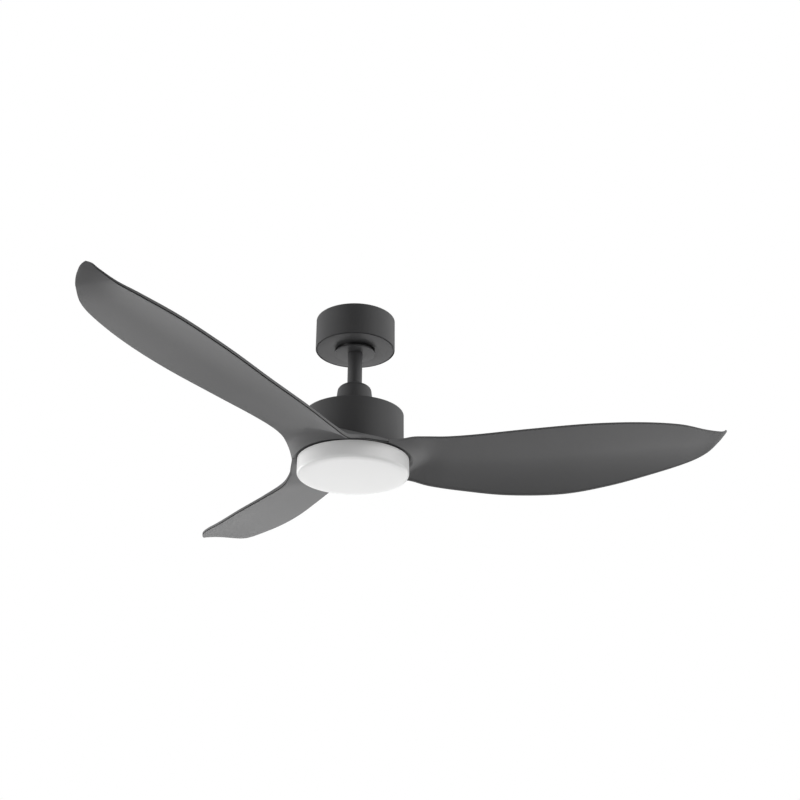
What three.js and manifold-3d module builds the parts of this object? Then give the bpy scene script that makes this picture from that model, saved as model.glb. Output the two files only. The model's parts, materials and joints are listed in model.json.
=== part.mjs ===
// Ceiling fan with a light: a canopy and ball joint at the ceiling, a short downrod, an outer-rotor motor
// that carries three scimitar blades, and a round opal light held by the still motor shaft.
// Millimetres, +Z up. The origin is the centre of the hanger bracket's top face, on the ceiling plane,
// so the whole fan hangs below z = 0.
import * as THREE from "three";
import { mergeVertices } from "three/addons/utils/BufferGeometryUtils.js";
import Module from "manifold-3d";

const wasm = await Module();
wasm.setup();

// Driving dimensions.
const GAP = 0.3; // clearance between touching pieces
const CANOPY = { radius: 73, height: 59.4, wall: 1.6, floor: 2, mouth: 36 };
const BRACKET = { halfLength: 52, halfWidth: 18, plate: 2.5, depth: 46 };
const BALL = { z: -36, radius: 22.1, linerInner: 22.7, linerOuter: 25, seat: 25.6, seatOuter: 28 };
const ROD = { radius: 13.35, bore: 10.9, top: -27, bottom: -174 };
const COLLAR = { radius: 36.5, top: -63.6, bottom: -66.8, neck: 16.5, neckTop: -58 };
const PIN_Z = -33.5;
const YOKE = { top: -140, taper: -177, flangeTop: -183, bottom: -190.2, radius: 18.5, flange: 27 };
const YOKE_BOLTS = { crossZ: -158, setZ: -168 };
const HOUSING = { radius: 89.5, top: -190.5, bottom: -267.5, wall: 1.8 };
const SHAFT = { radius: 8.5, bore: 5.5, top: -175.2, bottom: -276.4 };
const ROTOR = { radius: 80, wall: 2.5, top: -199, bottom: -253, split: -224, flange: 85.5, segments: 28 };
const BEARING = { outer: 17.5, outerBore: 15, inner: 11.6, bore: 8.8, height: 9, balls: 7, ballRadius: 1.35 };
const BEARING_TOPS = { upper: -202.3, lower: -240.8 };
const STATOR = { radius: 66.5, top: -214, height: 26, teeth: 12 };
const BLADES = 3;
const BLADE_ROOT = { inner: 42, top: -268.8, bottom: -274.6 };
const LIGHT = { radius: 100, top: -277.8, bottom: -310.4, wall: 2 };

const MATERIALS = {
  paint: { color: 0x3c3c3e, roughness: 0.55, metalness: 0.1 },
  blade: { color: 0x47474a, roughness: 0.6, metalness: 0 },
  steel: { color: 0xb4b6b8, roughness: 0.35, metalness: 1 },
  zinc: { color: 0x8d9094, roughness: 0.45, metalness: 0.9 },
  aluminium: { color: 0xa9abad, roughness: 0.45, metalness: 1 },
  nylon: { color: 0x222224, roughness: 0.6, metalness: 0 },
  magnet: { color: 0x3a3735, roughness: 0.7, metalness: 0.3 },
  copper: { color: 0xb06a3a, roughness: 0.35, metalness: 0.9 },
  laminate: { color: 0x77797c, roughness: 0.5, metalness: 0.9 },
  whitePlastic: { color: 0xe6e6e2, roughness: 0.5, metalness: 0 },
  opal: { color: 0xf4f4f2, roughness: 0.4, metalness: 0 },
};

const fan = new THREE.Group();
const turn = (degrees) => (degrees * Math.PI) / 180;

function add(name, geometry, material, place = new THREE.Matrix4()) {
  const mesh = new THREE.Mesh(geometry, new THREE.MeshStandardMaterial(MATERIALS[material]));
  mesh.name = name;
  mesh.applyMatrix4(place);
  fan.add(mesh);
}

// Booleans: geometries go in, one geometry comes out.
function toSolid(geometry) {
  const bare = geometry.clone();
  for (const key of Object.keys(bare.attributes)) if (key !== "position") bare.deleteAttribute(key);
  const merged = mergeVertices(bare, 1e-4);
  return new wasm.Manifold(
    new wasm.Mesh({
      numProp: 3,
      vertProperties: new Float32Array(merged.attributes.position.array),
      triVerts: new Uint32Array(merged.index.array),
    }),
  );
}

function toGeometry(solid) {
  const mesh = solid.getMesh();
  const geometry = new THREE.BufferGeometry();
  geometry.setAttribute("position", new THREE.BufferAttribute(mesh.vertProperties, 3));
  geometry.setIndex(new THREE.BufferAttribute(mesh.triVerts, 1));
  return geometry;
}

function join(...geometries) {
  return toGeometry(geometries.map(toSolid).reduce((all, solid) => all.add(solid)));
}

function cut(body, ...tools) {
  return toGeometry(tools.map(toSolid).reduce((left, tool) => left.subtract(tool), toSolid(body)));
}

// A solid of revolution about Z from [radius, z] points, in either order.
function turned(profile, segments = 24) {
  const area = profile.reduce((sum, [r, z], i) => {
    const [nextR, nextZ] = profile[(i + 1) % profile.length];
    return sum + r * nextZ - nextR * z;
  }, 0);
  const points = (area > 0 ? profile : [...profile].reverse()).map(([r, z]) => new THREE.Vector2(r, z));
  const onAxis = points.findIndex((point, i) => {
    return point.x === 0 && points[(i + points.length - 1) % points.length].x === 0;
  });
  if (onAxis >= 0) points.push(...points.splice(0, onAxis));
  else points.push(points[0].clone());
  return new THREE.LatheGeometry(points, segments).rotateX(Math.PI / 2);
}

const ring = (inner, outer, low, high, segments) =>
  turned([[inner, low], [outer, low], [outer, high], [inner, high]], segments);

const rod = (radius, low, high, segments = 16) => ring(0, radius, low, high, segments);

function box(width, depth, height, x = 0, y = 0, z = 0) {
  return new THREE.BoxGeometry(width, depth, height).translate(x, y, z);
}

// Points on a circle about [0, z], from one elevation in degrees to another.
function arc(radius, z, from, to, steps) {
  return Array.from({ length: steps + 1 }, (_, i) => {
    const angle = turn(from + ((to - from) * i) / steps);
    return [radius * Math.cos(angle), z + radius * Math.sin(angle)];
  });
}

// A pan-head screw with its head's top at z = 0 and its shank pointing along -Z.
function screw(headRadius, headHeight, shankRadius, length) {
  return turned(
    [
      [0, 0],
      [headRadius * 0.6, 0],
      [headRadius, -headHeight * 0.6],
      [headRadius, -headHeight],
      [shankRadius, -headHeight],
      [shankRadius, -length],
      [0, -length],
    ],
    8,
  );
}

// A headless set screw with its outer end at z = 0 and a flat slot.
function grubScrew(radius, length) {
  const body = rod(radius, -length, 0, 8);
  return cut(body, box(radius * 4, radius * 0.4, 2));
}

const at = (x, y, z) => new THREE.Matrix4().makeTranslation(x, y, z);
const aboutX = (degrees) => new THREE.Matrix4().makeRotationX(turn(degrees));
const aboutY = (degrees) => new THREE.Matrix4().makeRotationY(turn(degrees));
const aboutZ = (degrees) => new THREE.Matrix4().makeRotationZ(turn(degrees));
const polar = (radius, degrees, z) =>
  at(radius * Math.cos(turn(degrees)), radius * Math.sin(turn(degrees)), z);

// Ceiling parts.
const CANOPY_SCREWS = { angles: [45, 135], z: -10, headRadius: 3.4, headHeight: 1.6, length: 9 };
const EAR = { width: 12, armLength: 56, drop: 16, face: 70.8, thickness: 2.5 };
const LAG_SLOT = { x: 41, length: 14, width: 5.4 };

function canopy() {
  const { radius, height, wall, floor, mouth } = CANOPY;
  const shell = turned(
    [
      [radius, 0],
      [radius, -height + 1.2],
      [radius - 1.2, -height],
      [mouth, -height],
      [mouth, -height + floor],
      [radius - wall, -height + floor],
      [radius - wall, 0],
    ],
    36,
  );
  const holes = CANOPY_SCREWS.angles.map((angle) =>
    rod(2.2, -4, 4, 8).applyMatrix4(
      aboutZ(angle).multiply(at(radius - wall / 2, 0, CANOPY_SCREWS.z)).multiply(aboutY(90)),
    ),
  );
  return cut(shell, ...holes);
}

function bracket() {
  const { halfLength, halfWidth, plate, depth } = BRACKET;
  const strapWidth = 2 * BALL.seatOuter;
  const top = box(2 * halfLength, 2 * halfWidth, plate, 0, 0, -plate / 2);
  const leg = (side) => box(plate, 2 * halfWidth, depth, side * (halfLength - plate / 2), 0, -depth / 2);
  const strap = box(2 * halfLength, strapWidth, plate, 0, 0, -depth + plate / 2);
  const bottom = cut(strap, rod(BALL.seat - 0.4, -depth - 1, -depth + plate + 1, 24));
  const cup = turned([...arc(BALL.seatOuter, BALL.z, -14, -40, 3), ...arc(BALL.seat, BALL.z, -40, -14, 3)]);
  // Two ears that take the canopy's screws.
  const earMiddle = EAR.face - EAR.thickness / 2;
  const ears = CANOPY_SCREWS.angles.flatMap((angle) => {
    const place = aboutZ(angle);
    const arm = box(EAR.armLength, EAR.width, plate, EAR.face - EAR.armLength / 2, 0, -plate / 2);
    const tab = box(EAR.thickness, EAR.width, EAR.drop, earMiddle, 0, -EAR.drop / 2);
    return [arm.applyMatrix4(place), tab.applyMatrix4(place)];
  });
  const earHoles = CANOPY_SCREWS.angles.map((angle) => {
    const place = aboutZ(angle).multiply(at(earMiddle, 0, CANOPY_SCREWS.z)).multiply(aboutY(90));
    return rod(1.9, -4, 4, 8).applyMatrix4(place);
  });
  const lagSlots = [-1, 1].map((side) =>
    box(LAG_SLOT.length, LAG_SLOT.width, 2 * plate + 1, side * LAG_SLOT.x, 0, -plate / 2),
  );
  const whole = join(top, leg(-1), leg(1), bottom, cup, ...ears);
  return cut(whole, ...earHoles, ...lagSlots);
}

add("hanger_bracket", bracket(), "paint");
add("canopy", canopy(), "paint");
CANOPY_SCREWS.angles.forEach((angle, i) => {
  const { headRadius, headHeight, length, z } = CANOPY_SCREWS;
  const place = aboutZ(angle).multiply(at(CANOPY.radius + GAP + headHeight, 0, z)).multiply(aboutY(90));
  add(`canopy_screw_${i + 1}`, screw(headRadius, headHeight, 1.6, length), "paint", place);
});
add("receiver_box", box(60, 30, 15, 0, 0, -BRACKET.plate - GAP - 7.5), "whitePlastic");

function terminalBlock() {
  const x = -BRACKET.halfLength - GAP - 5;
  const body = box(10, 30, 14, x, 0, -14);
  const wells = [-9, 0, 9].map((y) => box(3, 3, 16, x, y, -24));
  return cut(body, ...wells);
}
add("terminal_block", terminalBlock(), "whitePlastic");

// Ball joint: the liner tilts in the bracket's cup, and the ball tilts in the liner.
add(
  "seat_liner",
  turned([...arc(BALL.linerOuter, BALL.z, -8, -43, 4), ...arc(BALL.linerInner, BALL.z, -43, -8, 4)]),
  "nylon",
);

function hangerBall() {
  const bore = ROD.radius + GAP;
  const flat = 6;
  const start = (Math.asin(flat / BALL.radius) * 180) / Math.PI;
  const round = arc(BALL.radius, BALL.z, start, -50, 6);
  const [, endZ] = round[round.length - 1];
  const ball = turned([[bore, BALL.z + flat], ...round, [bore, endZ]]);
  const pinHole = rod(2.8, -30, 30, 8).applyMatrix4(at(0, 0, PIN_Z).multiply(aboutY(90)));
  const screwHole = rod(2.3, -24, 0, 8).applyMatrix4(at(0, 0, -41).multiply(aboutX(-90)));
  return cut(ball, pinHole, screwHole);
}
add("hanger_ball", hangerBall(), "nylon");
add("ball_pin", rod(2.5, -18.5, 18.5, 10), "zinc", at(0, 0, PIN_Z).multiply(aboutY(90)));
add("ball_set_screw", grubScrew(2, 6), "zinc", at(0, -19.6, -41).multiply(aboutX(90)));

function downrod() {
  const tube = ring(ROD.bore, ROD.radius, ROD.bottom, ROD.top, 24);
  const across = (radius, z) => rod(radius, -20, 20, 8).applyMatrix4(at(0, 0, z).multiply(aboutY(90)));
  return cut(tube, across(2.8, PIN_Z), across(3.3, YOKE_BOLTS.crossZ));
}
add("downrod", downrod(), "paint");

// A disc just below the canopy's mouth, with a neck that grips the rod.
function collar() {
  const { radius, top, bottom, neck, neckTop } = COLLAR;
  const bore = ROD.radius + GAP;
  const profile = [
    [bore, neckTop],
    [neck, neckTop],
    [neck, top],
    [radius, top],
    [radius, bottom + 0.6],
    [radius - 0.6, bottom],
    [bore, bottom],
  ];
  return turned(profile, 32);
}
add("downrod_collar", collar(), "paint");

// Coupling between the downrod and the motor.
const COUPLING_PROFILE = [
  [13.7, -128.2],
  [16.5, -130.9],
  [20.5, -132.6],
  [24.5, -134.4],
  [27.3, -136.4],
  [29.3, -139.2],
  [30.6, -144],
  [34.6, -190.2],
];
const HOUSING_SCREWS = { angles: [30, 150, 270], radius: 21.5 };

function yoke() {
  const { top, taper, flangeTop, bottom, radius, flange } = YOKE;
  const bore = ROD.radius + GAP;
  const socket = ROD.bottom - 0.6;
  const shaftBore = SHAFT.radius + GAP;
  const body = turned(
    [
      [bore, top],
      [radius, top],
      [radius, taper],
      [flange, flangeTop],
      [flange, bottom],
      [shaftBore, bottom],
      [shaftBore, socket],
      [bore, socket],
    ],
    24,
  );
  const boltHole = rod(3.3, -30, 30, 8).applyMatrix4(at(0, 0, YOKE_BOLTS.crossZ).multiply(aboutY(90)));
  const setHoles = rod(2.3, -30, 30, 8).applyMatrix4(at(0, 0, YOKE_BOLTS.setZ).multiply(aboutX(90)));
  const flangeHoles = HOUSING_SCREWS.angles.map((angle) =>
    rod(1.9, -8, 8, 8).applyMatrix4(polar(HOUSING_SCREWS.radius, angle, bottom)),
  );
  return cut(body, boltHole, setHoles, ...flangeHoles);
}

function hexBolt(headAcross, headHeight, shankRadius, length) {
  const head = new THREE.CylinderGeometry(headAcross / 2, headAcross / 2, headHeight, 6);
  const upright = head.rotateX(Math.PI / 2).translate(0, 0, headHeight / 2);
  return join(upright, rod(shankRadius, -length, headHeight / 2, 8));
}

function hexNut(across, height, bore) {
  const body = new THREE.CylinderGeometry(across / 2, across / 2, height, 6).rotateX(Math.PI / 2);
  return cut(body, rod(bore, -height, height, 12));
}

add("coupling_yoke", yoke(), "aluminium");
const boltFace = YOKE.radius + GAP;
const crossPlace = (x, degrees) => at(x, 0, YOKE_BOLTS.crossZ).multiply(aboutY(degrees));
add("coupling_bolt", hexBolt(11, 4, 3, 44), "zinc", crossPlace(-boltFace, -90));
add("coupling_nut", hexNut(11, 5, 3.3), "zinc", crossPlace(boltFace + 2.5, 90));
[1, -1].forEach((side, i) => {
  const place = at(0, side * (YOKE.radius + 0.6), YOKE_BOLTS.setZ).multiply(aboutX(-90 * side));
  add(`yoke_set_screw_${i + 1}`, grubScrew(2, 5.6), "zinc", place);
});

function couplingCover() {
  const wall = 1.8;
  const bore = ROD.radius + GAP;
  const inside = COUPLING_PROFILE.map(([r, z], i) => {
    return [Math.max(r - wall, bore), z - (i === 0 ? wall : wall * 0.6)];
  });
  inside[inside.length - 1][1] = YOKE.bottom;
  return turned([...COUPLING_PROFILE, ...inside.reverse()], 24);
}
add("coupling_cover", couplingCover(), "paint");

// Motor housing, which stays still, and the stator on the hollow shaft.
function motorHousing() {
  const { radius, top, bottom, wall } = HOUSING;
  const shell = turned(
    [
      [SHAFT.radius + 0.6, top],
      [radius - 1, top],
      [radius, top - 1],
      [radius, bottom],
      [radius - wall, bottom],
      [radius - wall, top - wall],
      [SHAFT.radius + 0.6, top - wall],
    ],
    40,
  );
  const holes = HOUSING_SCREWS.angles.map((angle) =>
    rod(2, -6, 6, 8).applyMatrix4(polar(HOUSING_SCREWS.radius, angle, top)),
  );
  return cut(shell, ...holes);
}
add("motor_housing", motorHousing(), "paint");
HOUSING_SCREWS.angles.forEach((angle, i) => {
  const headTop = HOUSING.top - HOUSING.wall - GAP - 2;
  const place = polar(HOUSING_SCREWS.radius, angle, headTop).multiply(aboutX(180));
  add(`housing_screw_${i + 1}`, screw(3.4, 2, 1.6, 8), "zinc", place);
});

function motorShaft() {
  const { radius, bore, top, bottom } = SHAFT;
  const shoulder = { radius: 11, top: -199.3, bottom: -202 };
  return turned(
    [
      [bore, top],
      [radius, top],
      [radius, shoulder.top],
      [shoulder.radius, shoulder.top],
      [shoulder.radius, shoulder.bottom],
      [radius, shoulder.bottom],
      [radius, bottom],
      [bore, bottom],
    ],
    16,
  );
}
add("motor_shaft", motorShaft(), "steel");

// A flat shape around Z: an outline given by radius and angle, extruded.
function toothedCore() {
  const { radius, height, teeth } = STATOR;
  const hub = 26;
  const halfTooth = 4;
  const shoe = { start: 60.5, edge: 63, slack: 2.2 };
  const step = 360 / teeth;
  const outline = [];
  for (let i = 0; i < teeth; i += 1) {
    const middle = i * step;
    const point = (r, degrees) => new THREE.Vector2(r * Math.cos(turn(degrees)), r * Math.sin(turn(degrees)));
    const side = (r, offset) =>
      point(Math.hypot(r, offset), middle + (Math.atan2(offset, r) * 180) / Math.PI);
    outline.push(point(hub, middle - step / 2));
    outline.push(side(hub + 1.5, -halfTooth));
    outline.push(side(shoe.start, -halfTooth));
    outline.push(point(shoe.edge, middle - step / 2 + shoe.slack));
    outline.push(point(radius, middle - step / 2 + shoe.slack));
    outline.push(point(radius, middle));
    outline.push(point(radius, middle + step / 2 - shoe.slack));
    outline.push(point(shoe.edge, middle + step / 2 - shoe.slack));
    outline.push(side(shoe.start, halfTooth));
    outline.push(side(hub + 1.5, halfTooth));
  }
  const shape = new THREE.Shape(outline);
  const bore = new THREE.Path().absarc(0, 0, SHAFT.radius + GAP, 0, 2 * Math.PI, true);
  shape.holes.push(bore);
  return new THREE.ExtrudeGeometry(shape, { depth: height, bevelEnabled: false, curveSegments: 8 });
}
add("stator_core", toothedCore(), "laminate", at(0, 0, STATOR.top - STATOR.height));

// One coil around each tooth, all joined by the ring of crossover wire above the hub.
function winding() {
  const { teeth, top, height } = STATOR;
  const coils = Array.from({ length: teeth }, (_, i) => {
    const middle = top - height / 2;
    const outer = box(20, 14.4, height + 7, 46, 0, middle);
    const inner = box(22, 8.6, height + 0.8, 46, 0, middle);
    return cut(outer, inner).applyMatrix4(aboutZ((i * 360) / teeth));
  });
  return join(ring(35, 38.5, top + 0.6, top + 3.2, 24), ...coils);
}
add("stator_winding", winding(), "copper");

// Bearings: the inner races stay with the shaft and the outer races turn with the rotor.
function ballCage(middle) {
  const pitch = (BEARING.outerBore + BEARING.inner) / 2;
  const balls = Array.from({ length: BEARING.balls }, (_, i) =>
    new THREE.IcosahedronGeometry(BEARING.ballRadius, 0).applyMatrix4(
      polar(pitch, (i * 360) / BEARING.balls, middle),
    ),
  );
  return join(ring(pitch - 0.7, pitch + 0.7, middle - 0.8, middle + 0.8, 14), ...balls);
}

for (const [place, top] of Object.entries(BEARING_TOPS)) {
  const low = top - BEARING.height;
  add(`${place}_inner_race`, ring(BEARING.bore, BEARING.inner, low, top, 16), "steel");
  add(`${place}_outer_race`, ring(BEARING.outerBore, BEARING.outer, low, top, 20), "steel");
  add(`${place}_ball_cage`, ballCage(top - BEARING.height / 2), "steel");
}

// Rotor: two covers screwed together around the iron and magnet rings.
const ROTOR_SCREWS = { angles: [0, 120, 240], radius: 82.7 };
const POCKET = { bore: BEARING.outer + GAP, outer: 20.5, lip: 12.6 };
const BLADE_SCREWS = { radius: 56, spread: 25, headRadius: 3.8 };
const BLADE_ANGLES = Array.from({ length: BLADES }, (_, i) => (i * 360) / BLADES);
const bladeScrewAngles = BLADE_ANGLES.flatMap((angle) =>
  [-1, 1].map((side) => angle + side * BLADE_SCREWS.spread),
);
const flangeHoles = () =>
  ROTOR_SCREWS.angles.map((angle) =>
    rod(1.7, -6, 6, 8).applyMatrix4(polar(ROTOR_SCREWS.radius, angle, ROTOR.split)),
  );

function rotorUpperCover() {
  const { radius, wall, top, split, flange } = ROTOR;
  const disc = top - 2.4;
  const pocketEnd = BEARING_TOPS.upper - BEARING.height;
  const body = turned(
    [
      [POCKET.lip, top],
      [radius - 3, top],
      [radius, top - 3],
      [radius, split + 3.3],
      [flange, split + 3.3],
      [flange, split + GAP],
      [radius - wall, split + GAP],
      [radius - wall, disc],
      [POCKET.outer, disc],
      [POCKET.outer, pocketEnd],
      [POCKET.bore, pocketEnd],
      [POCKET.bore, BEARING_TOPS.upper + GAP],
      [POCKET.lip, BEARING_TOPS.upper + GAP],
    ],
    ROTOR.segments,
  );
  return cut(body, ...flangeHoles());
}

function rotorLowerCover() {
  const { radius, wall, bottom, split, flange } = ROTOR;
  const disc = bottom + 2.6;
  const carrier = { inner: 40, outer: 74, bottom: BLADE_ROOT.top + GAP };
  const body = turned(
    [
      [POCKET.lip, bottom],
      [carrier.inner, bottom],
      [carrier.inner, carrier.bottom],
      [carrier.outer, carrier.bottom],
      [carrier.outer, bottom],
      [radius, bottom],
      [radius, split - 3],
      [flange, split - 3],
      [flange, split],
      [radius - wall, split],
      [radius - wall, disc],
      [POCKET.outer, disc],
      [POCKET.outer, BEARING_TOPS.lower],
      [POCKET.bore, BEARING_TOPS.lower],
      [POCKET.bore, BEARING_TOPS.lower - BEARING.height - GAP],
      [POCKET.lip, BEARING_TOPS.lower - BEARING.height - GAP],
    ],
    ROTOR.segments,
  );
  const bladeHoles = bladeScrewAngles.map((angle) =>
    rod(2.1, -6, 6, 8).applyMatrix4(polar(BLADE_SCREWS.radius, angle, carrier.bottom)),
  );
  return cut(body, ...flangeHoles(), ...bladeHoles);
}

add("rotor_upper_cover", rotorUpperCover(), "aluminium");
add("rotor_lower_cover", rotorLowerCover(), "aluminium");
add("back_iron_ring", ring(73, 77.2, -243, -211, ROTOR.segments), "steel");
add("magnet_ring", ring(68, 72.7, -242, -212, ROTOR.segments), "magnet");
ROTOR_SCREWS.angles.forEach((angle, i) => {
  const place = polar(ROTOR_SCREWS.radius, angle, ROTOR.split + 5.4);
  add(`rotor_screw_${i + 1}`, screw(2.6, 1.8, 1.4, 9), "zinc", place);
});

// Blades. Stations from root to tip: leading and trailing edge x, y, z on the underside, how far the
// section's middle bows outwards from the chord, its thickness, and the heights of its two edge faces.
const BLADE_STATIONS = [
  { lead: [59.6, -90.4, -278.4], trail: [48.9, 96.5, -278.4], bow: 52, thick: 5.8, nose: 5.8, tail: 5.8 },
  { lead: [81, -81.4, -271.8], trail: [69, 86.4, -280.8], bow: 42, thick: 7.5, nose: 4.4, tail: 8.2 },
  { lead: [103, -75.4, -264.2], trail: [91, 77, -284], bow: 34, thick: 8.5, nose: 3.6, tail: 8.6 },
  { lead: [127, -69.8, -261], trail: [109, 70.3, -289.2], bow: 26, thick: 9, nose: 3.6, tail: 8.4 },
  { lead: [162, -67.6, -259.4], trail: [140, 68.5, -298.4], bow: 16, thick: 9, nose: 3.6, tail: 8.6 },
  { lead: [214, -73, -256.6], trail: [200, 76.4, -303.7], bow: 8, thick: 8, nose: 3.6, tail: 6.6 },
  { lead: [300, -88, -251.5], trail: [285, 85.2, -307.5], bow: 3, thick: 7.5, nose: 3.6, tail: 6.3 },
  { lead: [400, -103, -246.3], trail: [385, 83.2, -304.5], bow: 0, thick: 7.5, nose: 3.6, tail: 6.3 },
  { lead: [487, -106.4, -243.2], trail: [470, 70.7, -291.5], bow: 0, thick: 7, nose: 3.6, tail: 6.2 },
  { lead: [560, -98.8, -242], trail: [550, 48, -274.4], bow: 0, thick: 6.5, nose: 3.4, tail: 6 },
  { lead: [610, -82.7, -243], trail: [607, 23.8, -261.2], bow: 0, thick: 6, nose: 3.2, tail: 5.6 },
  { lead: [640, -65, -243.4], trail: [636, 5.2, -251.4], bow: 0, thick: 5.4, nose: 3, tail: 4.6 },
  { lead: [658, -50, -238], trail: [654, -10, -234.4], bow: 0, thick: 4.4, nose: 2.8, tail: 3.4 },
  { lead: [666.4, -38, -226.5], trail: [665.6, -26.4, -220.2], bow: 0, thick: 3, nose: 2.6, tail: 2.6 },
];
const FLAT_SHARE = 0.45; // the underside is straight up to here and curves down from here to its tail
const ROOT_STATIONS = [BLADE_ROOT.inner, 74, 101];
const SEAM_GAP = 0.35; // half the gap between neighbouring blade roots
const CHORD_STEPS = 6;

// Underside and top of one station, as rows of points from the leading edge to the trailing edge.
function bladeStation({ lead, trail, bow, thick, nose, tail }) {
  const from = new THREE.Vector3(...lead);
  const to = new THREE.Vector3(...trail);
  const fall = Math.max(from.z - to.z, 0);
  const rows = { under: [], top: [] };
  for (let i = 0; i <= CHORD_STEPS; i += 1) {
    const v = i / CHORD_STEPS;
    const swell = 4 * v * (1 - v);
    const point = from.clone().lerp(to, v);
    point.x += bow * swell;
    point.z += fall * (v * (1 - FLAT_SHARE) ** 2 - Math.max(v - FLAT_SHARE, 0) ** 2);
    const edge = nose + (tail - nose) * v;
    const height = edge + (thick - edge) * Math.sqrt(swell);
    rows.under.push(point);
    rows.top.push(point.clone().add(new THREE.Vector3(0, 0, height)));
  }
  return rows;
}

// Underside and top of the flat root, along an arc from one seam to the other.
function rootStation(radius, seamLead, seamTrail) {
  const rows = { under: [], top: [] };
  for (let i = 0; i <= CHORD_STEPS; i += 1) {
    const angle = seamLead + ((seamTrail - seamLead) * i) / CHORD_STEPS;
    const x = radius * Math.cos(angle);
    const y = radius * Math.sin(angle);
    rows.under.push(new THREE.Vector3(x, y, BLADE_ROOT.bottom));
    rows.top.push(new THREE.Vector3(x, y, BLADE_ROOT.top));
  }
  return rows;
}

// A closed skin over rows of stations, each a loop: underside forwards, top backwards.
function loft(stations) {
  const loops = stations.map(({ under, top }) => [...under, ...[...top].reverse()]);
  const size = loops[0].length;
  const positions = loops.flat().flatMap((point) => point.toArray());
  const index = [];
  for (let s = 0; s + 1 < loops.length; s += 1) {
    for (let i = 0; i < size; i += 1) {
      const a = s * size + i;
      const b = s * size + ((i + 1) % size);
      index.push(a, b, a + size, b, b + size, a + size);
    }
  }
  const row = size / 2;
  const last = (loops.length - 1) * size;
  for (let i = 0; i + 1 < row; i += 1) {
    const across = size - 1 - i;
    index.push(i, across, i + 1, i + 1, across, across - 1);
    index.push(last + i, last + i + 1, last + across, last + i + 1, last + across - 1, last + across);
  }
  const geometry = new THREE.BufferGeometry();
  geometry.setAttribute("position", new THREE.Float32BufferAttribute(positions, 3));
  geometry.setIndex(index);
  return geometry;
}

function blade() {
  const seam = turn(60);
  const [first] = BLADE_STATIONS;
  const middle = Math.atan2(first.trail[1], first.trail[0]) - seam;
  const roots = ROOT_STATIONS.map((radius) => {
    const slack = SEAM_GAP / radius;
    return rootStation(radius, middle - seam + slack, middle + seam - slack);
  });
  return loft([...roots, ...BLADE_STATIONS.map(bladeStation)]);
}

function bladeWithHoles() {
  const holes = [-1, 1].flatMap((side) => {
    const place = polar(BLADE_SCREWS.radius, side * BLADE_SCREWS.spread, BLADE_ROOT.bottom);
    const shank = rod(2.1, -1, 12, 8).applyMatrix4(place);
    const counterbore = rod(BLADE_SCREWS.headRadius + 0.6, -1, 2.6, 10).applyMatrix4(place);
    return [shank, counterbore];
  });
  return cut(blade(), ...holes);
}

BLADE_ANGLES.forEach((angle, i) => {
  add(`blade_${i + 1}`, bladeWithHoles(), "blade", aboutZ(angle));
});
bladeScrewAngles.forEach((angle, i) => {
  const place = polar(BLADE_SCREWS.radius, angle, BLADE_ROOT.bottom + 0.1).multiply(aboutX(180));
  add(`blade_screw_${i + 1}`, screw(BLADE_SCREWS.headRadius, 2.2, 1.8, 9), "zinc", place);
});

// Light: a plate on the shaft's end, a pan screwed to it, the lamp parts and the opal cover.
const LIGHT_SCREWS = { angles: [90, 210, 330], radius: 26 };
const PLATE = { outer: 36, top: -270, bottom: -277.5 };
const PAN = { rim: 92, tab: 97, top: -277.8, thickness: 1.5 };
const LUG_ANGLES = [30, 150, 270];
const BOARD = { inner: 20, outer: 86, top: -293.5, thickness: 1.6 };
const BOARD_SCREWS = { angles: [0, 180], radius: 74 };

function sector(inner, outer, low, high, middle, half, steps = 2) {
  const shape = new THREE.Shape();
  const angles = Array.from({ length: steps + 1 }, (_, i) => turn(middle - half + (2 * half * i) / steps));
  const points = [
    ...angles.map((a) => new THREE.Vector2(outer * Math.cos(a), outer * Math.sin(a))),
    ...angles.reverse().map((a) => new THREE.Vector2(inner * Math.cos(a), inner * Math.sin(a))),
  ];
  shape.setFromPoints(points);
  return new THREE.ExtrudeGeometry(shape, { depth: high - low, bevelEnabled: false }).translate(0, 0, low);
}

const lightHoles = (radius) =>
  LIGHT_SCREWS.angles.map((angle) =>
    rod(radius, -20, 20, 8).applyMatrix4(polar(LIGHT_SCREWS.radius, angle, PLATE.bottom)),
  );

add(
  "light_plate",
  cut(
    turned(
      [
        [SHAFT.radius + GAP, PLATE.top],
        [18, PLATE.top],
        [18, PLATE.bottom + 4],
        [PLATE.outer, PLATE.bottom + 4],
        [PLATE.outer, PLATE.bottom],
        [SHAFT.radius + GAP, PLATE.bottom],
      ],
      24,
    ),
    ...lightHoles(1.9),
  ),
  "zinc",
);
add("light_nut", hexNut(26, 4, SHAFT.radius + GAP), "zinc", at(0, 0, PLATE.top + GAP + 2));

function lightPan() {
  const { rim, tab, top, thickness } = PAN;
  const low = top - thickness;
  const disc = ring(12, rim, low, top, 36);
  const tabs = LUG_ANGLES.map((angle) => sector(rim - 1, tab, low - 1.5, low, angle, 8));
  const tabRoots = LUG_ANGLES.map((angle) => sector(rim - 4, rim - 0.5, low - 1.5, low + 0.5, angle, 8));
  const posts = BOARD_SCREWS.angles.map((angle) => {
    return ring(1.8, 4, BOARD.top + GAP, low + 0.5, 10).applyMatrix4(polar(BOARD_SCREWS.radius, angle, 0));
  });
  return cut(join(disc, ...tabs, ...tabRoots, ...posts), ...lightHoles(2));
}
add("light_pan", lightPan(), "whitePlastic");
LIGHT_SCREWS.angles.forEach((angle, i) => {
  const headTop = PAN.top - PAN.thickness - GAP - 2;
  const place = polar(LIGHT_SCREWS.radius, angle, headTop).multiply(aboutX(180));
  add(`light_screw_${i + 1}`, screw(3.6, 2, 1.6, 7), "zinc", place);
});
add("led_driver", box(62, 34, 11, 0, 50, PAN.top - PAN.thickness - GAP - 5.5), "whitePlastic");

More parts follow.
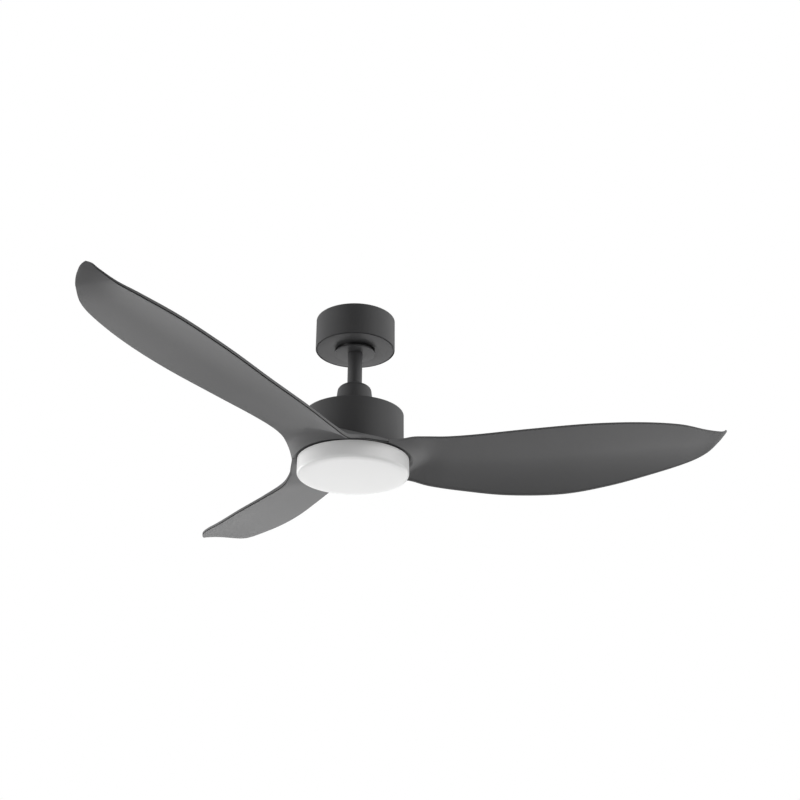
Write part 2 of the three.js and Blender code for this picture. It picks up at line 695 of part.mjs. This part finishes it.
function ledBoard() {
  const { inner, outer, top, thickness } = BOARD;
  const low = top - thickness;
  const leds = Array.from({ length: 12 }, (_, i) =>
    box(3.5, 3.5, 1.4, 62, 0, low - 0.5).applyMatrix4(aboutZ(15 + (i * 360) / 12)),
  );
  const holes = BOARD_SCREWS.angles.map((angle) =>
    rod(2, -20, 20, 8).applyMatrix4(polar(BOARD_SCREWS.radius, angle, top)),
  );
  return cut(join(ring(inner, outer, low, top, 36), ...leds), ...holes);
}
add("led_board", ledBoard(), "whitePlastic");
BOARD_SCREWS.angles.forEach((angle, i) => {
  const headTop = BOARD.top - BOARD.thickness - GAP - 2;
  const place = polar(BOARD_SCREWS.radius, angle, headTop).multiply(aboutX(180));
  add(`board_screw_${i + 1}`, screw(3.4, 2, 1.5, 9), "zinc", place);
});

// The opal cover's lugs lie on the pan's tabs; a twist frees them.
function diffuser() {
  const { radius, top, bottom, wall } = LIGHT;
  const corner = 4;
  const outer = arc(corner, 0, 0, -90, 3).map(([x, z]) => [radius - 2.5 - corner + x, bottom + corner + z]);
  const shell = turned(
    [
      [0, bottom],
      ...outer.reverse(),
      [radius, top - 6],
      [radius, top],
      [radius - wall, top],
      [radius - wall, top - 6],
      [radius - 2.5 - wall, bottom + corner + 1],
      [radius - 2.5 - wall - 2.5, bottom + wall],
      [0, bottom + wall],
    ],
    40,
  );
  const lugs = LUG_ANGLES.map((angle) => sector(93.5, radius - wall + 0.5, top - 1.2, top - 0.1, angle, 6));
  return join(shell, ...lugs);
}
add("diffuser", diffuser(), "opal");

export default fan;
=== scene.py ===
import json
import math

import bpy
from mathutils import Matrix, Vector


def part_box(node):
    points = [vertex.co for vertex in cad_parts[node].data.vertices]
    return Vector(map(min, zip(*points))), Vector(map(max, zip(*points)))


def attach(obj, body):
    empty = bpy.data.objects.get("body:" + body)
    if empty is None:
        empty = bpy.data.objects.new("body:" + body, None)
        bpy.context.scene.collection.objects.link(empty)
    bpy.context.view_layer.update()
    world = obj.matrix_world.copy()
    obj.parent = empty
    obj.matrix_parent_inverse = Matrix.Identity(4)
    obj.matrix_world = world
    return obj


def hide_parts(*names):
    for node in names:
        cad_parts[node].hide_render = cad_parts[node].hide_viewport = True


# Looks of the ceiling fan. The object's sizes are in millimetres and the studio's in metres.
# The frame is the part's own, with its origin on the ceiling.
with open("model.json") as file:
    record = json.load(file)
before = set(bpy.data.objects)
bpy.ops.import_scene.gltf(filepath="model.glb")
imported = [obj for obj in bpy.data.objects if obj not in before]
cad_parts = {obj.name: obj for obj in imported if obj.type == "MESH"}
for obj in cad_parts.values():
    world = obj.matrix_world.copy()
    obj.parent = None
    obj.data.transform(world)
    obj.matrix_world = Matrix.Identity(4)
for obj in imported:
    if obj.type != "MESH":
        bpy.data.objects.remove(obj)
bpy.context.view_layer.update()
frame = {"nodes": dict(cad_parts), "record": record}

MM = 0.001
ROUND_SEGMENTS = 192
ROD_SEGMENTS = 96
COVER_SEGMENTS = 256


# ---------------------------------------------------------------- materials

def node_material(name):
    material = bpy.data.materials.new(name)
    material.use_nodes = True
    tree = material.node_tree
    return material, tree, tree.nodes["Principled BSDF"]


def link(tree, source, output, target, socket):
    tree.links.new(source.outputs[output], target.inputs[socket])


def object_position(tree):
    return tree.nodes.new("ShaderNodeTexCoord")


def noise(tree, position, scale, detail):
    texture = tree.nodes.new("ShaderNodeTexNoise")
    texture.inputs["Scale"].default_value = scale
    texture.inputs["Detail"].default_value = detail
    link(tree, position, "Object", texture, "Vector")
    return texture


def ramp(tree, source, dark, light, start=0.0, end=1.0):
    """Colour that goes from dark to light as the source goes from start to end."""
    mapper = tree.nodes.new("ShaderNodeValToRGB")
    stops = [(start, dark), (end, light)]
    for element, (place, color) in zip(mapper.color_ramp.elements, stops):
        element.position = place
        element.color = (*color, 1.0)
    link(tree, source, "Fac", mapper, "Fac")
    return mapper


def spread(tree, source, low, high):
    mapper = tree.nodes.new("ShaderNodeMapRange")
    mapper.inputs["To Min"].default_value = low
    mapper.inputs["To Max"].default_value = high
    link(tree, source, "Fac", mapper, "Value")
    return mapper


def bump(tree, source, shader, depth):
    node = tree.nodes.new("ShaderNodeBump")
    node.inputs["Distance"].default_value = depth * MM
    link(tree, source, "Fac", node, "Height")
    link(tree, node, "Normal", shader, "Normal")


def clouded(tree, shader, cloud, dark, light):
    """Soft colour clouds from one shade to another."""
    tint = ramp(tree, cloud, dark, light, 0.3, 0.7)
    link(tree, tint, "Color", shader, "Base Color")
    return tint


def grained(tree, shader, fine, smooth, rough, depth):
    """Fine grain, in the roughness and as a bump."""
    link(tree, spread(tree, fine, smooth, rough), "Result", shader, "Roughness")
    bump(tree, fine, shader, depth)


def shade(color, factor):
    return tuple(channel * factor for channel in color)


ROUGHNESS_SPREAD = 0.06


def textured(name, color, roughness, metallic, grain, grain_depth, mottle, clouds):
    """A surface with soft colour clouds, uneven roughness and a fine bump."""
    material, tree, shader = node_material(name)
    position = object_position(tree)
    cloud = noise(tree, position, clouds, 3.0)
    clouded(tree, shader, cloud, shade(color, 1 - mottle), shade(color, 1 + mottle))
    fine = noise(tree, position, grain, 2.0)
    grained(tree, shader, fine, roughness - ROUGHNESS_SPREAD, roughness + ROUGHNESS_SPREAD, grain_depth)
    shader.inputs["Metallic"].default_value = metallic
    return material


def opal_plastic():
    """Milky white, with a faint painted glow over the whole cover that stands in for light falling on it.
    """
    material, tree, shader = node_material("opal_plastic")
    position = object_position(tree)
    cloud = noise(tree, position, 9.0, 2.0)
    tint = clouded(tree, shader, cloud, (0.89, 0.89, 0.885), (0.92, 0.92, 0.915))
    # painted glow: the cover's own colour given out as light all over, at a faint strength
    link(tree, tint, "Color", shader, "Emission Color")
    shader.inputs["Emission Strength"].default_value = 0.15
    fine = noise(tree, position, 1500.0, 1.0)
    grained(tree, shader, fine, 0.3, 0.42, 0.004)
    return material


def banded(name, dark, light, bands, band_depth, metallic, roughness):
    """Fine level bands, as on a wound coil or a stack of sheets."""
    material, tree, shader = node_material(name)
    position = object_position(tree)
    wave = tree.nodes.new("ShaderNodeTexWave")
    wave.bands_direction = "Z"
    wave.inputs["Scale"].default_value = bands
    link(tree, position, "Object", wave, "Vector")
    tint = ramp(tree, wave, dark, light)
    link(tree, tint, "Color", shader, "Base Color")
    bump(tree, wave, shader, band_depth)
    shader.inputs["Metallic"].default_value = metallic
    shader.inputs["Roughness"].default_value = roughness
    return material


# Each slot's colour, roughness, metallic share, grain scale, grain depth, colour mottling and cloud scale.
TEXTURED = {
    "anthracite_paint": ((0.068, 0.068, 0.07), 0.5, 0.0, 700, 0.03, 0.05, 14),
    "blade_plastic": ((0.132, 0.132, 0.134), 0.55, 0.0, 900, 0.03, 0.05, 6),
    "zinc_steel": ((0.5, 0.51, 0.53), 0.36, 1.0, 500, 0.02, 0.15, 60),
    "bright_steel": ((0.62, 0.63, 0.65), 0.22, 1.0, 800, 0.005, 0.08, 60),
    "cast_aluminium": ((0.55, 0.56, 0.57), 0.48, 1.0, 400, 0.06, 0.1, 40),
    "black_nylon": ((0.03, 0.03, 0.032), 0.45, 0.0, 600, 0.03, 0.1, 30),
    "magnet_ferrite": ((0.08, 0.075, 0.07), 0.6, 0.3, 300, 0.05, 0.2, 40),
    "circuit_board": ((0.8, 0.82, 0.8), 0.4, 0.0, 300, 0.02, 0.04, 30),
    "white_plastic": ((0.8, 0.8, 0.78), 0.45, 0.0, 700, 0.02, 0.03, 20),
}
# Each slot's dark and light colours, band scale, band depth, metallic share and roughness.
BANDED = {
    "core_laminate": ((0.1, 0.1, 0.11), (0.36, 0.37, 0.39), 320, 0.1, 0.8, 0.45),
    "copper_wire": ((0.34, 0.13, 0.05), (0.72, 0.36, 0.18), 300, 0.3, 0.9, 0.35),
}
MATERIALS = {slot: textured(slot, *finish) for slot, finish in TEXTURED.items()}
MATERIALS.update({slot: banded(slot, *finish) for slot, finish in BANDED.items()})
MATERIALS["opal_plastic"] = opal_plastic()


# ---------------------------------------------------------------- mesh tools

def piece(name, vertices, faces, slot, body, replaced, crease=30.0):
    """A piece from vertices in millimetres, with its finish, its body and the CAD nodes it stands for."""
    mesh = bpy.data.meshes.new(name)
    mesh.from_pydata([Vector(v) * MM for v in vertices], [], faces)
    mesh.validate()
    mesh.shade_smooth()
    mesh.set_sharp_from_angle(angle=math.radians(crease))
    mesh.materials.append(MATERIALS[slot])
    made = bpy.data.objects.new(name, mesh)
    bpy.context.scene.collection.objects.link(made)
    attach(made, body)
    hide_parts(*replaced)


def catmull_rom(values, steps):
    """Smooth values through a list of vectors, with a few steps between each pair."""
    made = []
    last = len(values) - 1
    for i in range(last):
        p0, p1, p2, p3 = (values[min(max(i + k, 0), last)] for k in (-1, 0, 1, 2))
        for step in range(steps):
            t = step / steps
            made.append(
                0.5 * (
                    2 * p1 + (p2 - p0) * t
                    + (2 * p0 - 5 * p1 + 4 * p2 - p3) * t ** 2
                    + (3 * p1 - p0 - 3 * p2 + p3) * t ** 3
                )
            )
    made.append(values[last])
    return made


def filleted(corners, steps=6):
    """A closed profile from (r, z, fillet radius) corners, each fillet an arc of a few points."""
    points = []
    count = len(corners)
    for i, (r, z, radius) in enumerate(corners):
        here = Vector((r, z))
        if radius == 0:
            points.append(here)
            continue
        before = (Vector(corners[i - 1][:2]) - here).normalized()
        after = (Vector(corners[(i + 1) % count][:2]) - here).normalized()
        half = before.angle(after) / 2
        centre = here + (before + after).normalized() * (radius / math.sin(half))
        start = here + before * (radius / math.tan(half)) - centre
        end = here + after * (radius / math.tan(half)) - centre
        sweep = math.atan2(start.x * end.y - start.y * end.x, start.dot(end))
        for step in range(steps + 1):
            points.append(centre + Matrix.Rotation(sweep * step / steps, 2) @ start)
    return points


ON_AXIS = 1e-6


def revolved(name, profile, slot, body, replaced, segments=ROUND_SEGMENTS):
    """A solid of revolution about Z from a closed profile. Points on the axis are merged."""
    area = sum(a.x * b.y - b.x * a.y for a, b in zip(profile, profile[1:] + profile[:1]))
    if area < 0:
        profile.reverse()
    vertices = []
    rows = []
    for point in profile:
        if point.x < ON_AXIS:
            rows.append([len(vertices)] * segments)
            vertices.append((0.0, 0.0, point.y))
            continue
        rows.append(list(range(len(vertices), len(vertices) + segments)))
        for k in range(segments):
            angle = 2 * math.pi * k / segments
            vertices.append((point.x * math.cos(angle), point.x * math.sin(angle), point.y))
    faces = []
    for row, above in zip(rows, rows[1:] + rows[:1]):
        for k in range(segments):
            n = (k + 1) % segments
            loop = [row[k], row[n], above[n], above[k]]
            loop = [v for j, v in enumerate(loop) if v != loop[j - 1]]
            if len(loop) >= 3:
                faces.append(loop)
    piece(name, vertices, faces, slot, body, replaced)


# ---------------------------------------------------------------- round parts

def node_radius(node):
    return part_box(node)[1].x / MM


def node_span(node):
    low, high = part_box(node)
    return low.z / MM, high.z / MM


ROD_RADIUS = 13.35
ROD_BORE = 10.9
ON_ROD = 13.65  # bore of the parts that sit round the rod
SHAFT_HOLE = 9.1
CANOPY_MOUTH = 36
RIM_GROOVE = 3  # from the canopy's side in to the groove's inner wall
COLLAR_NECK = 16.5
COLLAR_DISC = 3.2
SHEET_WALL = 1.8
BELL_LIP = 1.2
# How much the opal cover is narrower and shallower than its CAD solid.
COVER_NARROWER = 1.2
COVER_SHALLOWER = 2.2


def canopy():
    """A cup with a round mouth and a fine groove round its lower rim."""
    radius = node_radius("canopy")
    low, high = node_span("canopy")
    wall = 1.6
    floor = low + 2
    groove = radius - RIM_GROOVE
    groove_top = low + 1.8
    corners = [
        (radius, high, 0.4),
        (radius, low, 0.7),
        (groove + 2.1, low, 0.2),
        (groove + 2.0, groove_top, 0.2),
        (groove, groove_top, 0.2),
        (groove - 0.1, low, 0.2),
        (CANOPY_MOUTH, low, 0.6),
        (CANOPY_MOUTH, floor, 0.5),
        (groove - wall, floor, 0.5),
        (groove - 1.2, groove_top + wall, 0.5),
        (radius - wall, groove_top + wall, 0.5),
        (radius - wall, high, 0.4),
    ]
    revolved("canopy_shell", filleted(corners), "anthracite_paint", "ceiling_mount", ["canopy"])


def collar():
    """A disc under the canopy's mouth with a short neck on the rod."""
    radius = node_radius("downrod_collar")
    low, high = node_span("downrod_collar")
    disc_top = low + COLLAR_DISC
    corners = [
        (ON_ROD, high, 0.2),
        (COLLAR_NECK, high, 0.4),
        (COLLAR_NECK, disc_top, 0.5),
        (radius, disc_top, 0.6),
        (radius, low, 0.8),
        (ON_ROD, low, 0.2),
    ]
    revolved("collar_disc", filleted(corners), "anthracite_paint", "fan_body", ["downrod_collar"])


def downrod():
    low, high = node_span("downrod")
    corners = [(ROD_BORE, low, 0.4), (ROD_RADIUS, low, 0.5), (ROD_RADIUS, high, 0.5), (ROD_BORE, high, 0.4)]
    revolved("downrod_tube", filleted(corners), "anthracite_paint", "fan_body", ["downrod"], ROD_SEGMENTS)


def coupling_cover():
    """A bell: a smooth curve from the rod out to a nearly straight skirt."""
    low, high = node_span("coupling_cover")
    bell = [(13.7, 0), (16.6, 2.7), (20.6, 4.5), (24.5, 6.3), (27.3, 8.4), (29.5, 11.2), (31, 16), (33, 36)]
    outer = catmull_rom([Vector((r, high - down)) for r, down in bell], 5)
    lip = node_radius("coupling_cover") + BELL_LIP
    skirt = [(34.2, low + 7), (lip - 0.5, low + 1.6), (lip, low + 1), (lip, low)]
    outer += [Vector(corner) for corner in skirt]
    inner = [Vector((max(p.x - SHEET_WALL, ON_ROD), p.y - SHEET_WALL * 0.6)) for p in outer[2:-1]]
    inner.append(Vector((lip - SHEET_WALL, low)))
    profile = outer + inner[::-1]
    revolved("coupling_bell", profile, "anthracite_paint", "fan_body", ["coupling_cover"])


def motor_housing():
    radius = node_radius("motor_housing")
    low, high = node_span("motor_housing")
    corners = [
        (SHAFT_HOLE, high, 0.3),
        (radius, high, 1.4),
        (radius, low, 0.6),
        (radius - SHEET_WALL, low, 0.6),
        (radius - SHEET_WALL, high - SHEET_WALL, 1.0),
        (SHAFT_HOLE, high - SHEET_WALL, 0.3),
    ]
    revolved("housing_drum", filleted(corners), "anthracite_paint", "fan_body", ["motor_housing"])


def diffuser():
    """A shallow drum with an upright wall and a nearly flat base."""
    radius = node_radius("diffuser") - COVER_NARROWER
    low, high = node_span("diffuser")
    low += COVER_SHALLOWER
    wall = 1.5
    corners = [
        (0, low, 0),
        (radius - 14, low + 0.3, 30),
        (radius, low + 1, 5),
        (radius, high, 0.5),
        (radius - wall, high, 0.5),
        (radius - wall, low + 3.4, 4),
        (0, low + 2, 0),
    ]
    revolved("diffuser_drum", filleted(corners), "opal_plastic", "diffuser", ["diffuser"], COVER_SEGMENTS)


# ---------------------------------------------------------------- blades

# Root to tip, in millimetres: leading edge, trailing edge, how far the middle bows outwards, thickness,
# and the heights of the leading and trailing edge faces.
STATIONS = [
    ((59.6, -90.4, -278.4), (48.9, 96.5, -278.4), 52, 5.8, 5.8, 5.8),
    ((81, -81.4, -271.8), (69, 86.4, -280.8), 42, 7.5, 4.4, 8.2),
    ((103, -75.4, -264.2), (91, 77, -284), 34, 8.5, 3.6, 8.6),
    ((127, -69.8, -261), (109, 70.3, -289.2), 26, 9, 3.6, 8.4),
    ((162, -67.6, -259.4), (140, 68.5, -298.4), 16, 9, 3.6, 8.6),
    ((214, -73, -256.6), (200, 76.4, -303.7), 8, 8, 3.6, 6.6),
    ((300, -88, -251.5), (285, 85.2, -307.5), 3, 7.5, 3.6, 6.3),
    ((400, -103, -246.3), (385, 83.2, -304.5), 0, 7.5, 3.6, 6.3),
    ((487, -106.4, -243.2), (470, 70.7, -291.5), 0, 7, 3.6, 6.2),
    ((560, -98.8, -242), (550, 48, -274.4), 0, 6.5, 3.4, 6),
    ((610, -82.7, -244), (607, 23.8, -261.2), 0, 6, 3.2, 5.6),
    ((640.7, -65, -239.4), (637, 4.4, -250), 0, 5.4, 3, 4.6),
    ((651.2, -57, -235.2), (655.4, -12, -235.2), 0.5, 4.4, 2.8, 3.4),
    ((656.2, -51.5, -231.8), (661.8, -19.5, -227.4), 1.5, 3.6, 2.7, 3),
    ((659.8, -46, -228.6), (663.4, -30, -221.5), 2, 2.8, 2.6, 2.6),
]
FLAT_SHARE = 0.45  # the underside is straight up to here and curves down from here to its trailing edge
GROOVE_HEIGHT = 1.9
GROOVE_DEPTH = 4.0
GROOVE_CHORD = 60  # the groove shrinks with the blade where its chord is shorter than this
EDGE_BREAK = 0.4  # how much the trailing edge face's upper corner is broken
# The root's underside as radius and height, with a relief over the light's rim.
ROOT = [(42, -274.6), (60, -274.6), (83, -274.6), (84, -270.8), (99.4, -270.8), (100.2, -274.6)]
ROOT_TOP = -268.8
SEAM_GAP = 0.1  # half the gap between neighbouring blade roots
STATION_STEPS = 7
CHORD_STEPS = 26


def blade_stations():
    """Every station, interpolated finely along the blade."""
    leads = catmull_rom([Vector(s[0]) for s in STATIONS], STATION_STEPS)
    trails = catmull_rom([Vector(s[1]) for s in STATIONS], STATION_STEPS)
    sizes = catmull_rom([Vector(s[2:]) for s in STATIONS], STATION_STEPS)
    return [(lead, trail, *size) for lead, trail, size in zip(leads, trails, sizes)]


def section(lead, trail, bow, thick, nose, tail):
    """One closed loop: the hollowed underside, a groove, the trailing edge face, then back over the top."""
    up = Vector((0, 0, 1))
    across = (trail - lead).normalized()
    chord = (trail - lead).length
    fall = max(lead.z - trail.z, 0)
    under, top = [], []
    for i in range(CHORD_STEPS + 1):
        v = i / CHORD_STEPS
        swell = 4 * v * (1 - v)
        lift = fall * (v * (1 - FLAT_SHARE) ** 2 - max(v - FLAT_SHARE, 0) ** 2)
        point = lead.lerp(trail, v) + Vector((bow * swell, 0, lift))
        edge = nose + (tail - nose) * v
        under.append(point)
        top.append(point + up * (edge + (thick - edge) * math.sqrt(swell)))
    scale = min(1.0, chord / GROOVE_CHORD)
    groove_top = up * (GROOVE_HEIGHT * scale)
    inner = trail - across * min(GROOVE_DEPTH * scale, chord / CHORD_STEPS * 0.8)
    edge_face = [
        trail - across * 0.3,
        inner + up * 0.2,
        inner + groove_top,
        trail + groove_top,
        trail + up * (tail - EDGE_BREAK),
        trail - across * EDGE_BREAK + up * tail,
    ]
    return under[:-1] + edge_face + top[-2::-1]


def root_section(radius, bottom, lead_angle, trail_angle):
    """A loop with as many points as a blade section, on the flat root ring."""
    angles = [lead_angle + (trail_angle - lead_angle) * i / CHORD_STEPS for i in range(CHORD_STEPS + 1)]
    edge = [Vector((radius * math.cos(angle), radius * math.sin(angle), 0)) for angle in angles]
    under = [point + Vector((0, 0, bottom)) for point in edge]
    top = [point + Vector((0, 0, ROOT_TOP)) for point in edge]
    side = [under[-1].lerp(top[-1], share) for share in (0.1, 0.3, 0.5, 0.7, 0.9)]
    return under + side + top[-2::-1]


def cap(first, size):
    """Closes one end of a blade, quad by quad from the underside to the top."""
    last = first + size - 1
    faces = [(first + i, first + i + 1, last - i - 1, last - i) for i in range(CHORD_STEPS - 1)]
    faces.append(tuple(range(first + CHORD_STEPS - 1, last - CHORD_STEPS + 2)))
    return faces


def blade(index):
    """One blade with its third of the root ring. The lofted loops run from the ring to the tip."""
    stations = blade_stations()
    seam = math.radians(60)
    first_trail = stations[0][1]
    middle = math.atan2(first_trail.y, first_trail.x) - seam
    loops = []
    for radius, bottom in ROOT:
        slack = SEAM_GAP / radius
        loops.append(root_section(radius, bottom, middle - seam + slack, middle + seam - slack))
    loops += [section(*station) for station in stations]
    size = len(loops[0])
    turn = Matrix.Rotation(math.radians(120 * index), 3, "Z")
    vertices = [turn @ point for loop in loops for point in loop]
    faces = []
    for s in range(len(loops) - 1):
        for i in range(size):
            a = s * size + i
            b = s * size + (i + 1) % size
            faces.append((a, b, b + size, a + size))
    faces += [face[::-1] for face in cap(0, size)]
    faces += cap((len(loops) - 1) * size, size)
    name = f"blade_skin_{index + 1}"
    piece(name, vertices, faces, "blade_plastic", "rotor", [f"blade_{index + 1}"], crease=20.0)


# ---------------------------------------------------------------- carried-over CAD nodes

WELD_REACH = 0.01
EDGE_WIDTH = 0.25
EDGE_ANGLE = math.radians(40)


def finish_cad_nodes():
    """Gives every CAD node its slot's finish and small rounded edges."""
    slots = {row["node"]: row["material_slot"] for row in frame["record"]["subparts"]}
    for name, node in frame["nodes"].items():
        node.data.materials.clear()
        node.data.materials.append(MATERIALS[slots[name]])
        weld = node.modifiers.new("weld", "WELD")
        weld.merge_threshold = WELD_REACH * MM
        bevel = node.modifiers.new("edges", "BEVEL")
        bevel.width = EDGE_WIDTH * MM
        bevel.segments = 2
        bevel.limit_method = "ANGLE"
        bevel.angle_limit = EDGE_ANGLE


# ---------------------------------------------------------------- studio

CAMERA_BACK = 1.8447
CAMERA_BELOW = 0.9988
CAMERA_UP_TILT = math.radians(24.485)
CAMERA_RIGHT_TURN = math.radians(2.57)
CAMERA_LENS_MM = 50.31
FLOOR_Z = -2.5
FLOOR_HALF = 6.0
FLOOR_PAINT = ((0.6, 0.6, 0.6), 0.8, 0.0, 60, 0.1, 0.01, 1)


def add_camera():
    camera_data = bpy.data.cameras.new("camera")
    camera_data.lens = CAMERA_LENS_MM
    camera_data.sensor_width = 36.0
    camera = bpy.data.objects.new("camera", camera_data)
    camera.location = (0.0, -CAMERA_BACK, -CAMERA_BELOW)
    camera.rotation_euler = (math.radians(90) + CAMERA_UP_TILT, 0.0, -CAMERA_RIGHT_TURN)
    bpy.context.scene.collection.objects.link(camera)
    bpy.context.scene.camera = camera


def add_floor():
    mesh = bpy.data.meshes.new("floor")
    sides = [(-1, -1), (1, -1), (1, 1), (-1, 1)]
    mesh.from_pydata([(x * FLOOR_HALF, y * FLOOR_HALF, FLOOR_Z) for x, y in sides], [], [(0, 1, 2, 3)])
    mesh.materials.append(textured("floor_paint", *FLOOR_PAINT))
    floor = bpy.data.objects.new("floor", mesh)
    bpy.context.scene.collection.objects.link(floor)


# Soft panels behind the fan: azimuth from +X in degrees, distance and height in metres, watts.
PANELS = [
    (60, 2.4, -1.45, 11),
    (90, 2.6, -0.95, 10),
    (135, 2.6, -0.95, 20),
    (170, 2.6, -0.95, 11),
]
PANEL_SIZE = 1.2
PANEL_TARGET = Vector((0, 0, -0.25))
LEFT_GLOW, RIGHT_GLOW = 0.95, 1.24
WHITE = (1.0, 1.0, 1.0, 1.0)


def add_panels():
    for azimuth, distance, height, watts in PANELS:
        angle = math.radians(azimuth)
        data = bpy.data.lights.new(f"panel_{azimuth}", "AREA")
        data.shape = "SQUARE"
        data.size = PANEL_SIZE
        data.energy = watts
        lamp = bpy.data.objects.new(f"panel_{azimuth}", data)
        lamp.location = (distance * math.cos(angle), distance * math.sin(angle), height)
        lamp.rotation_euler = (PANEL_TARGET - lamp.location).to_track_quat("-Z", "Y").to_euler()
        lamp.visible_camera = False
        bpy.context.scene.collection.objects.link(lamp)


def lobe(tree, direction, towards, strength):
    """Light that fades in smoothly from one side of the surroundings."""
    facing = tree.nodes.new("ShaderNodeVectorMath")
    facing.operation = "DOT_PRODUCT"
    facing.inputs[1].default_value = towards
    link(tree, direction, "Generated", facing, 0)
    fade = tree.nodes.new("ShaderNodeMapRange")
    fade.interpolation_type = "SMOOTHSTEP"
    fade.inputs["From Min"].default_value = 0.1
    fade.inputs["From Max"].default_value = 0.9
    fade.inputs["To Max"].default_value = strength
    link(tree, facing, "Value", fade, "Value")
    return fade


def background(tree):
    node = tree.nodes.new("ShaderNodeBackground")
    node.inputs["Color"].default_value = WHITE
    return node


def add_sky():
    """White all round for the camera; as light, a soft glow from the left and from the right."""
    world = bpy.data.worlds.new("studio")
    world.use_nodes = True
    bpy.context.scene.world = world
    tree = world.node_tree
    tree.nodes.clear()
    out = tree.nodes.new("ShaderNodeOutputWorld")
    direction = tree.nodes.new("ShaderNodeTexCoord")
    left = lobe(tree, direction, (-1, 0, 0), LEFT_GLOW)
    right = lobe(tree, direction, (1, 0, 0), RIGHT_GLOW)
    both = tree.nodes.new("ShaderNodeMath")
    both.operation = "ADD"
    link(tree, left, "Result", both, 0)
    link(tree, right, "Result", both, 1)
    light = background(tree)
    link(tree, both, "Value", light, "Strength")
    seen = background(tree)
    path = tree.nodes.new("ShaderNodeLightPath")
    mix = tree.nodes.new("ShaderNodeMixShader")
    link(tree, path, "Is Camera Ray", mix, "Fac")
    link(tree, light, "Background", mix, 1)
    link(tree, seen, "Background", mix, 2)
    link(tree, mix, "Shader", out, "Surface")


add_camera()
add_floor()
add_panels()
add_sky()
bpy.context.scene.view_settings.view_transform = "Standard"
finish_cad_nodes()
canopy()
collar()
downrod()
coupling_cover()
motor_housing()
diffuser()
for number in range(3):
    blade(number)
